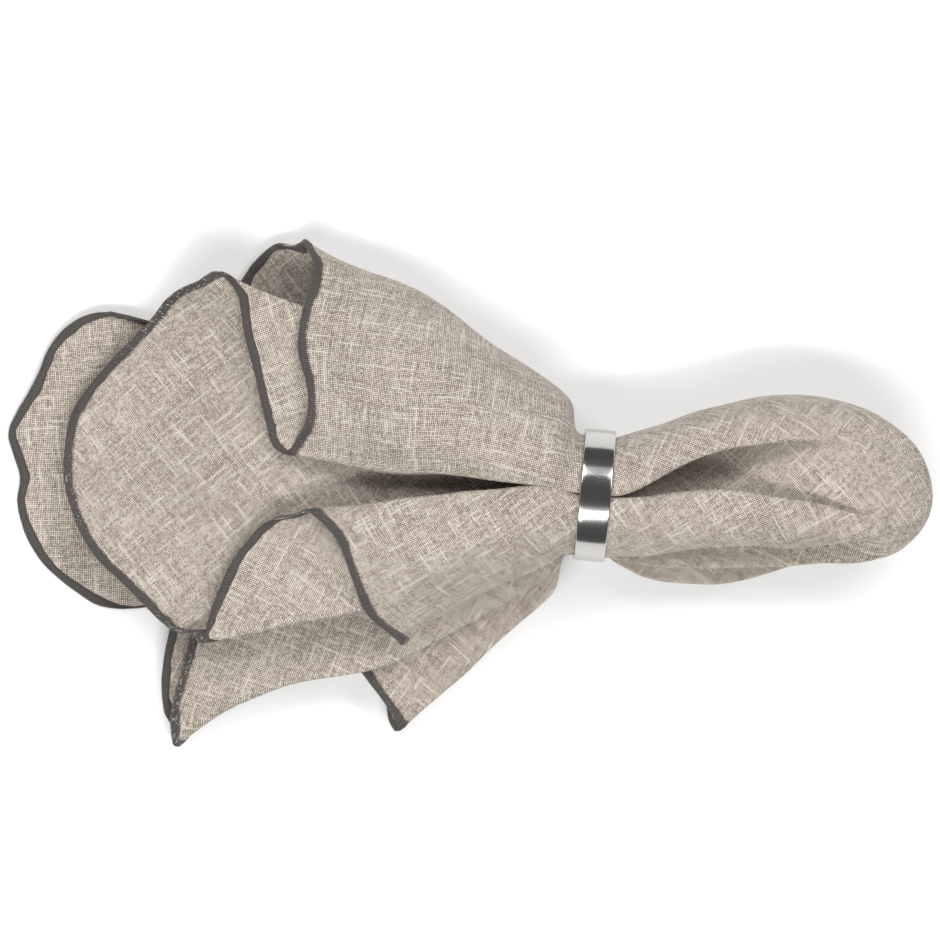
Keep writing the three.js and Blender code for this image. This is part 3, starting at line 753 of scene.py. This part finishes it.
def makeEdging():
    hem = lines[:, -1]
    closedHem = np.concatenate([hem, hem[:1]])
    places = np.concatenate([[0], np.cumsum(np.linalg.norm(np.diff(closedHem, axis=0), axis=1))])
    length = places[-1]
    count = int(round(length / edging["stitch"])) * edging["samples"]
    at = np.arange(count) / count * length
    stitches = np.arange(count) / edging["samples"]
    wrap = 3  # points repeated past each end, so that the line closes smoothly

    def closed(values):
        ends = np.concatenate([values[-wrap:], values, values[:wrap + 1]])
        spots = np.concatenate([places[-wrap - 1:-1] - length, places[:-1], places[:wrap + 1] + length])
        return onLine(ends, slopesOf(ends, spots), spots, at)

    edge = closed(hem)
    inner = closed(inFromHem(edging["width"] - edging["overhang"]))
    across = inner - edge
    forward = unit(np.roll(edge, -1, axis=0) - np.roll(edge, 1, axis=0))
    face = unit(np.cross(across, forward))
    inward = unit(across)
    rng = np.random.default_rng(edging["seed"])
    wander = np.zeros(count)
    for wave in edging["wander"]:
        for k in range(edging["waves"]):
            turns = round(length / wave["length"]) + k * edging["moreTurns"]
            phase = rng.uniform(0, 2 * math.pi)
            wander += wave["size"] / 2 * np.sin(2 * math.pi * turns * at / length + phase)
    rings = []
    for n, (share, rise) in enumerate(edging["section"]):
        lean = np.cos(2 * math.pi * (stitches + edging["slant"] * share))
        out = (1 - share) * edging["overhang"] * (1 + wander * edging["outerWander"])
        reach = wander * share + (n == edging["toothed"]) * edging["tooth"] * lean
        lift = edging["thickness"] / 2 * rise * (1 + edging["ridge"] * lean)
        rings.append(edge + across * share + inward * (reach - out)[:, None] + face * lift[:, None])
    points = np.stack(rings, axis=1)
    points[..., 2] = np.maximum(points[..., 2], edging["lowest"])
    sides = len(rings)
    index = np.arange(count * sides).reshape(count, sides)
    after = np.roll(index, -1, axis=0)
    quads = np.stack([index, np.roll(index, -1, axis=1), np.roll(after, -1, axis=1), after], axis=-1)
    made = meshObject("hemStitching", toScene(points).reshape(-1, 3), quads.reshape(-1, 4).tolist())
    alongAt = np.arange(count + 1) / edging["samples"]
    aroundAt = np.arange(sides + 1) / sides
    spots = np.stack(np.meshgrid(alongAt, aroundAt, indexing="ij"), axis=-1)
    corners = np.stack([spots[:-1, :-1], spots[:-1, 1:], spots[1:, 1:], spots[1:, :-1]], axis=2)
    layer = made.data.uv_layers.new(name="stitches")
    layer.data.foreach_set("uv", corners.astype(np.float32).ravel())
    return made


napkin = makeNapkin()
print("napkin", len(napkin.data.polygons), "faces")
stitching = makeEdging()
print("edging", len(stitching.data.polygons), "faces")


# Ring: the plain band turned about its own axis, with softened edges.
def makeRing():
    outer, inner = ring["outerRadius"], ring["outerRadius"] - ring["wall"]
    half, edge = ring["width"] / 2, ring["edgeRadius"]
    corners = [
        (outer - edge, half - edge), (inner + edge, half - edge),
        (inner + edge, edge - half), (outer - edge, edge - half),
    ]
    profile = []
    for corner, (radius, place) in enumerate(corners):
        for i in range(ring["edgeSteps"] + 1):
            angle = (corner + i / ring["edgeSteps"]) * math.pi / 2
            profile.append((radius + edge * math.cos(angle), place + edge * math.sin(angle)))
    faceSteps = np.linspace(-1, 1, ring["faceSteps"] + 1)[1:-1]
    profile += [(outer + ring["dome"] * (1 - f**2), f * (half - edge)) for f in faceSteps]
    profile = np.array(profile)
    centre = np.array([ring["x"], ring["y"], ring["outerRadius"]])
    turns = np.arange(ring["segments"]) / ring["segments"] * 2 * math.pi
    out = np.cos(turns)[:, None] * ringAcross + np.sin(turns)[:, None] * upward
    points = centre + out[:, None] * profile[None, :, :1] + ringAxis * profile[None, :, 1:]
    index = np.arange(points.shape[0] * points.shape[1]).reshape(points.shape[:2])
    after = np.roll(index, -1, axis=0)
    quads = np.stack([index, after, np.roll(after, -1, axis=1), np.roll(index, -1, axis=1)], axis=-1)
    return meshObject("polishedRing", toScene(points).reshape(-1, 3), quads.reshape(-1, 4).tolist())


band = makeRing()
print("ring made")


# A value in a shader: sums and products on it add the Math nodes.
class Value:
    def __init__(self, look, socket):
        self.look = look
        self.socket = socket

    def maths(self, operation, *others):
        return self.look.node("ShaderNodeMath", {"operation": operation}, dict(enumerate([self, *others])))

    def __add__(self, other):
        return self.maths("ADD", other)

    def __sub__(self, other):
        return self.maths("SUBTRACT", other)

    def __rsub__(self, other):
        return (self * -1) + other

    def __mul__(self, other):
        return self.maths("MULTIPLY", other)

    def __truediv__(self, other):
        return self.maths("DIVIDE", other)

    def __mod__(self, other):
        return self.maths("FLOORED_MODULO", other)

    __radd__ = __add__
    __rmul__ = __mul__


# A material and its nodes.
class Look:
    def __init__(self, name):
        self.material = bpy.data.materials.new(name)
        self.material.use_nodes = True
        self.tree = self.material.node_tree
        self.tree.nodes.clear()

    def node(self, kind, settings, sockets, output=0):
        made = self.tree.nodes.new(kind)
        for name, value in settings.items():
            setattr(made, name, value)
        for name, value in sockets.items():
            socket = made.inputs[name] if isinstance(name, int) else next(
                s for s in made.inputs if name in (s.identifier, s.name)
            )
            if isinstance(value, Value):
                self.tree.links.new(value.socket, socket)
            else:
                socket.default_value = value
        return Value(self, made.outputs[output])

    def between(self, low, high, value):
        return self.node("ShaderNodeMapRange", {"interpolation_type": "SMOOTHSTEP"}, {
            "Value": value, "From Min": low, "From Max": high,
        })

    def noise(self, x, y, z, detail=0.0):
        place = self.node("ShaderNodeCombineXYZ", {}, {"X": x, "Y": y, "Z": z})
        return self.node("ShaderNodeTexNoise", {}, {"Vector": place, "Scale": 1.0, "Detail": detail})

    def mix(self, share, a, b):
        return self.node("ShaderNodeMix", {"data_type": "RGBA"}, {
            "Factor_Float": share, "A_Color": a, "B_Color": b,
        }, 2)

    def surface(self, inputs, fixed):
        shader = self.node("ShaderNodeBsdfPrincipled", {}, {**inputs, **fixed})
        out = self.tree.nodes.new("ShaderNodeOutputMaterial")
        self.tree.links.new(shader.socket, out.inputs["Surface"])
        return self.material

    def uvOf(self, layer):
        place = self.node("ShaderNodeUVMap", {"uv_map": layer}, {})
        return [self.node("ShaderNodeSeparateXYZ", {}, {"Vector": place}, i) for i in (0, 1)]


# z values put each noise in a place of its own
linen = {
    "thread": 0.62,  # pitch of the weave, in millimetres
    "drift": {"scale": 0.03, "size": 1.6, "z": (1.7, 9.2)},  # the threads wander together
    "stray": {"across": 0.4, "along": 0.06, "size": 0.22, "z": (5.1, 3.3)},  # and a little each
    "tone": {"perThread": 7.31, "length": 18.0, "z": (0.0, 40.0), "detail": 1.0},
    "slub": {"perThread": 5.7, "length": 17.0, "z": (70.0, 90.0), "detail": 1.0},
    "slubAt": (0.63, 0.69),  # range of its noise over which a slub comes up
    "slubUnder": 0.35,  # how much of a slub shows where its thread passes under
    "slubPale": 0.8,
    "under": 0.25,  # a thread's share of the tone where it passes under
    "patch": {"scale": 0.035, "z": 20.0, "detail": 3.0},
    # what makes a spot lighter, by how much, and the light of plain cloth. The crests of the threads get a
    # painted highlight, and the holes between them painted shade.
    "lean": 0.4,
    "toneLight": 0.6,
    "patchLight": 0.3,
    "crestHighlight": 0.85,
    "reliefMean": 0.4,
    "grainLight": 0.5,
    "holeShade": 1.3,
    "plain": 0.58,
    "dark": (0.15, 0.122, 0.095, 1),
    "middle": (0.385, 0.33, 0.275, 1),
    "pale": (0.66, 0.6, 0.525, 1),
    "middleAt": (0.1, 0.55),  # range of light over which dark turns into middle
    "paleAt": (0.55, 1.0),
    "slubHeight": 0.8,
    "toneHeight": 1.2,
    "bump": {"Strength": 0.8, "Distance": 0.00012},
    "surface": {
        "Roughness": 0.85, "Sheen Weight": 0.15, "Sheen Roughness": 0.5, "Specular IOR Level": 0.25,
    },
}


def linenLook():
    look = Look("greigeLinen")
    u, v = look.uvOf("weave")
    drift, stray = linen["drift"], linen["stray"]
    wave = look.noise(u * drift["scale"], v * drift["scale"], drift["z"][0]) * drift["size"]
    u = u + wave + look.noise(u * stray["across"], v * stray["along"], stray["z"][0]) * stray["size"]
    wave = look.noise(u * drift["scale"], v * drift["scale"], drift["z"][1]) * drift["size"]
    v = v + wave + look.noise(u * stray["along"], v * stray["across"], stray["z"][1]) * stray["size"]
    a, b = u / linen["thread"], v / linen["thread"]
    threadA, threadB = a.maths("FLOOR"), b.maths("FLOOR")
    roundA = (a * math.pi).maths("SINE").maths("ABSOLUTE")
    roundB = (b * math.pi).maths("SINE").maths("ABSOLUTE")

    def perThread(row):
        zA, zB = row["z"]
        alongA = look.noise(threadA * row["perThread"], v / row["length"], zA, row["detail"])
        alongB = look.noise(threadB * row["perThread"], u / row["length"], zB, row["detail"])
        return alongA, alongB

    toneA, toneB = perThread(linen["tone"])
    slubA, slubB = [look.between(*linen["slubAt"], value) for value in perThread(linen["slub"])]
    overA = (threadA + threadB) % 2.0
    overB = 1 - overA
    seenA = linen["under"] + overA * (1 - 2 * linen["under"])
    tone = toneA * seenA + toneB * (1 - seenA)
    low, rise = linen["slubUnder"], 1 - linen["slubUnder"]
    slub = (slubA * (low + overA * rise)).maths("MAXIMUM", slubB * (low + overB * rise))
    # relief is the threads' height for the bump. Their crests are also painted lighter as a highlight, and
    # the holes between threads painted darker as shade.
    relief = roundA * roundB
    holeShadeMask = (1 - roundA) * (1 - roundB)
    scale = linen["patch"]["scale"]
    patch = look.noise(u * scale, v * scale, linen["patch"]["z"], linen["patch"]["detail"])
    crossing = look.node("ShaderNodeCombineXYZ", {}, {"X": threadA, "Y": threadB})
    grain = look.node("ShaderNodeTexWhiteNoise", {"noise_dimensions": "2D"}, {"Vector": crossing})
    # light mixes the threads' own tone with the painted highlight on their crests and the painted shade in
    # their holes
    light = (toneA + toneB - 1) * linen["lean"] + (tone - 0.5) * linen["toneLight"]
    light = light + (patch - 0.5) * linen["patchLight"]
    light = light + (relief - linen["reliefMean"]) * linen["crestHighlight"]
    light = light + (grain - 0.5) * linen["grainLight"]
    light = light + linen["plain"] - holeShadeMask * linen["holeShade"]
    ground = look.mix(look.between(*linen["middleAt"], light), linen["dark"], linen["middle"])
    ground = look.mix(look.between(*linen["paleAt"], light), ground, linen["pale"])
    colour = look.mix(slub * linen["slubPale"], ground, linen["pale"])
    height = relief + slub * linen["slubHeight"] + (tone - 0.5) * linen["toneHeight"]
    normal = look.node("ShaderNodeBump", {}, {"Height": height, **linen["bump"]})
    return look.surface({"Base Color": colour, "Normal": normal}, linen["surface"])


thread = {
    "tone": {"perStitch": 3.17, "around": 3.0, "z": 0.0, "detail": 1.0},
    # the first paints a highlight on each stitch's ridge and shade in the dips between stitches; the second
    # is the thread's own tone
    "ridgeHighlight": 0.6,
    "toneLight": 0.6,
    "dark": (0.028, 0.024, 0.02, 1),
    "middle": (0.085, 0.075, 0.066, 1),
    "pale": (0.5, 0.46, 0.4, 1),
    # pale specks between the stitches, on the upper side and in stretches along the hem
    "upperFrom": (0.02, 0.06),
    "upperTo": (0.44, 0.48),
    "speck": {"along": 0.9, "around": 9.0, "z": 4.0, "detail": 1.0},
    "speckAt": (0.6, 0.66),
    "stretch": {"along": 0.012, "z": 8.0},
    "stretchAt": (0.45, 0.65),
    "speckPale": 0.8,
    "bump": {"Strength": 0.8, "Distance": 0.0002},
    "surface": {"Roughness": 0.7, "Sheen Weight": 0.2, "Specular IOR Level": 0.3},
}


def threadLook():
    look = Look("overlockThread")
    along, around = look.uvOf("stitches")
    phase = along + (around * 2 * math.pi).maths("COSINE") * (edging["slant"] / 2)
    ridge = (phase * math.pi).maths("COSINE").maths("ABSOLUTE")
    stitch = (phase + 0.5).maths("FLOOR")
    row = thread["tone"]
    tone = look.noise(stitch * row["perStitch"], around * row["around"], row["z"], row["detail"])
    upper = look.between(*thread["upperFrom"], around) * (1 - look.between(*thread["upperTo"], around))
    row = thread["speck"]
    speck = look.noise(along * row["along"], around * row["around"], row["z"], row["detail"])
    speck = look.between(*thread["speckAt"], speck) * upper
    row = thread["stretch"]
    stretch = look.between(*thread["stretchAt"], look.noise(along * row["along"], 0.0, row["z"]))
    # the stitches' ridges are painted lighter as a highlight, and the dips between them darker as shade
    light = (ridge * thread["ridgeHighlight"] + tone * thread["toneLight"]).maths("MINIMUM", 1.0)
    colour = look.mix(light, thread["dark"], thread["middle"])
    colour = look.mix(speck * stretch * thread["speckPale"], colour, thread["pale"])
    height = ridge + (tone - 0.5)
    normal = look.node("ShaderNodeBump", {}, {"Height": height, **thread["bump"]})
    return look.surface({"Base Color": colour, "Normal": normal}, thread["surface"])


steel = {
    "waves": {"Scale": 70.0, "Detail": 1.0},  # the polish is a little uneven
    "bump": {"Strength": 1.0, "Distance": 0.00003},
    "marks": {"Scale": 900.0, "Detail": 3.0},  # and has fine marks
    "marksAt": (0.3, 0.7),
    "marksRough": 0.012,
    "roughness": 0.14,
    "surface": {"Base Color": (0.5, 0.49, 0.478, 1), "Metallic": 1.0},
}


def steelLook():
    look = Look("polishedSteel")
    place = look.node("ShaderNodeTexCoord", {}, {}, 3)
    waves = look.node("ShaderNodeTexNoise", {}, {"Vector": place, **steel["waves"]})
    marks = look.node("ShaderNodeTexNoise", {}, {"Vector": place, **steel["marks"]})
    normal = look.node("ShaderNodeBump", {}, {"Height": waves, **steel["bump"]})
    rough = look.between(*steel["marksAt"], marks) * steel["marksRough"] + steel["roughness"]
    return look.surface({"Roughness": rough, "Normal": normal}, steel["surface"])


napkin.data.materials.append(linenLook())
stitching.data.materials.append(threadLook())
band.data.materials.append(steelLook())
print("finishes made")

studio = {
    "floor": (0.9, 0.9, 0.9, 1),
    "floorSize": 6.0,
    "floorGrain": {"Scale": 300.0, "Detail": 2.0},
    "floorRoughness": 0.55,
    "grainRough": 0.1,
    "world": (1, 1, 1, 1),
    "worldStrength": 0.11,
    # each light: compass angle and height in degrees, how far off, its width and height, its power
    "lights": [
        {"name": "softFront", "turn": -84, "height": 56, "away": 1.6, "size": (1.3, 0.22), "watts": 15},
        {"name": "softFrontLeft", "turn": -120, "height": 54, "away": 1.6, "size": (0.8, 0.5), "watts": 8},
        {"name": "softBackLeft", "turn": 117, "height": 47, "away": 1.6, "size": (1.0, 0.6), "watts": 12},
        {"name": "softBackRight", "turn": 44, "height": 47, "away": 1.6, "size": (1.0, 0.6), "watts": 12},
        {"name": "dimBack", "turn": 90, "height": 48, "away": 1.7, "size": (1.0, 0.45), "watts": 0.8},
        {"name": "dimFront", "turn": -90, "height": 57, "away": 1.7, "size": (1.2, 0.75), "watts": 0.9},
    ],
}


def makeFloor():
    half = studio["floorSize"] / 2
    corners = np.array([(-half, -half, 0), (half, -half, 0), (half, half, 0), (-half, half, 0)])
    floor = meshObject("tableTop", corners, [(0, 1, 2, 3)])
    look = Look("whiteTable")
    place = look.node("ShaderNodeTexCoord", {}, {}, 3)
    grain = look.node("ShaderNodeTexNoise", {}, {"Vector": place, **studio["floorGrain"]})
    rough = studio["floorRoughness"] + grain * studio["grainRough"]
    floor.data.materials.append(look.surface({"Roughness": rough}, {"Base Color": studio["floor"]}))


def makeLights():
    world = bpy.data.worlds.new("studio")
    bpy.context.scene.world = world
    world.use_nodes = True
    background = world.node_tree.nodes["Background"]
    background.inputs["Color"].default_value = studio["world"]
    background.inputs["Strength"].default_value = studio["worldStrength"]
    for row in studio["lights"]:
        data = bpy.data.lights.new(row["name"], "AREA")
        data.energy, data.shape = row["watts"], "RECTANGLE"
        data.size, data.size_y = row["size"]
        lamp = bpy.data.objects.new(row["name"], data)
        bpy.context.scene.collection.objects.link(lamp)
        turn, height = math.radians(row["turn"]), math.radians(row["height"])
        flat = math.cos(height)
        away = np.array([math.cos(turn) * flat, math.sin(turn) * flat, math.sin(height)])
        lamp.location = away * row["away"]
        lamp.rotation_euler = (-lamp.location).to_track_quat("-Z", "Y").to_euler()
        lamp.visible_camera = False


camera = {
    "fieldWidth": 317.7,  # what the picture's width takes in, in millimetres
    "fieldHeight": 14.0,  # at this height over the table
    "aim": (0.0, 7.1),
    "away": 3000.0,
    "sensor": 36.0,
    "clip": (0.1, 20.0),  # in metres
}


def makeCamera():
    data = bpy.data.cameras.new("above")
    data.sensor_width = camera["sensor"]
    data.lens = camera["sensor"] * (camera["away"] - camera["fieldHeight"]) / camera["fieldWidth"]
    data.clip_start, data.clip_end = camera["clip"]
    eye = bpy.data.objects.new("above", data)
    bpy.context.scene.collection.objects.link(eye)
    eye.location = toScene((*camera["aim"], camera["away"]))
    bpy.context.scene.camera = eye


makeFloor()
makeLights()
makeCamera()
bpy.context.scene.view_settings.view_transform = "Standard"
print("floor, lights and camera set")

for piece in (napkin, stitching, band):
    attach(piece, "root")
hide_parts("napkin")
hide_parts("ring")
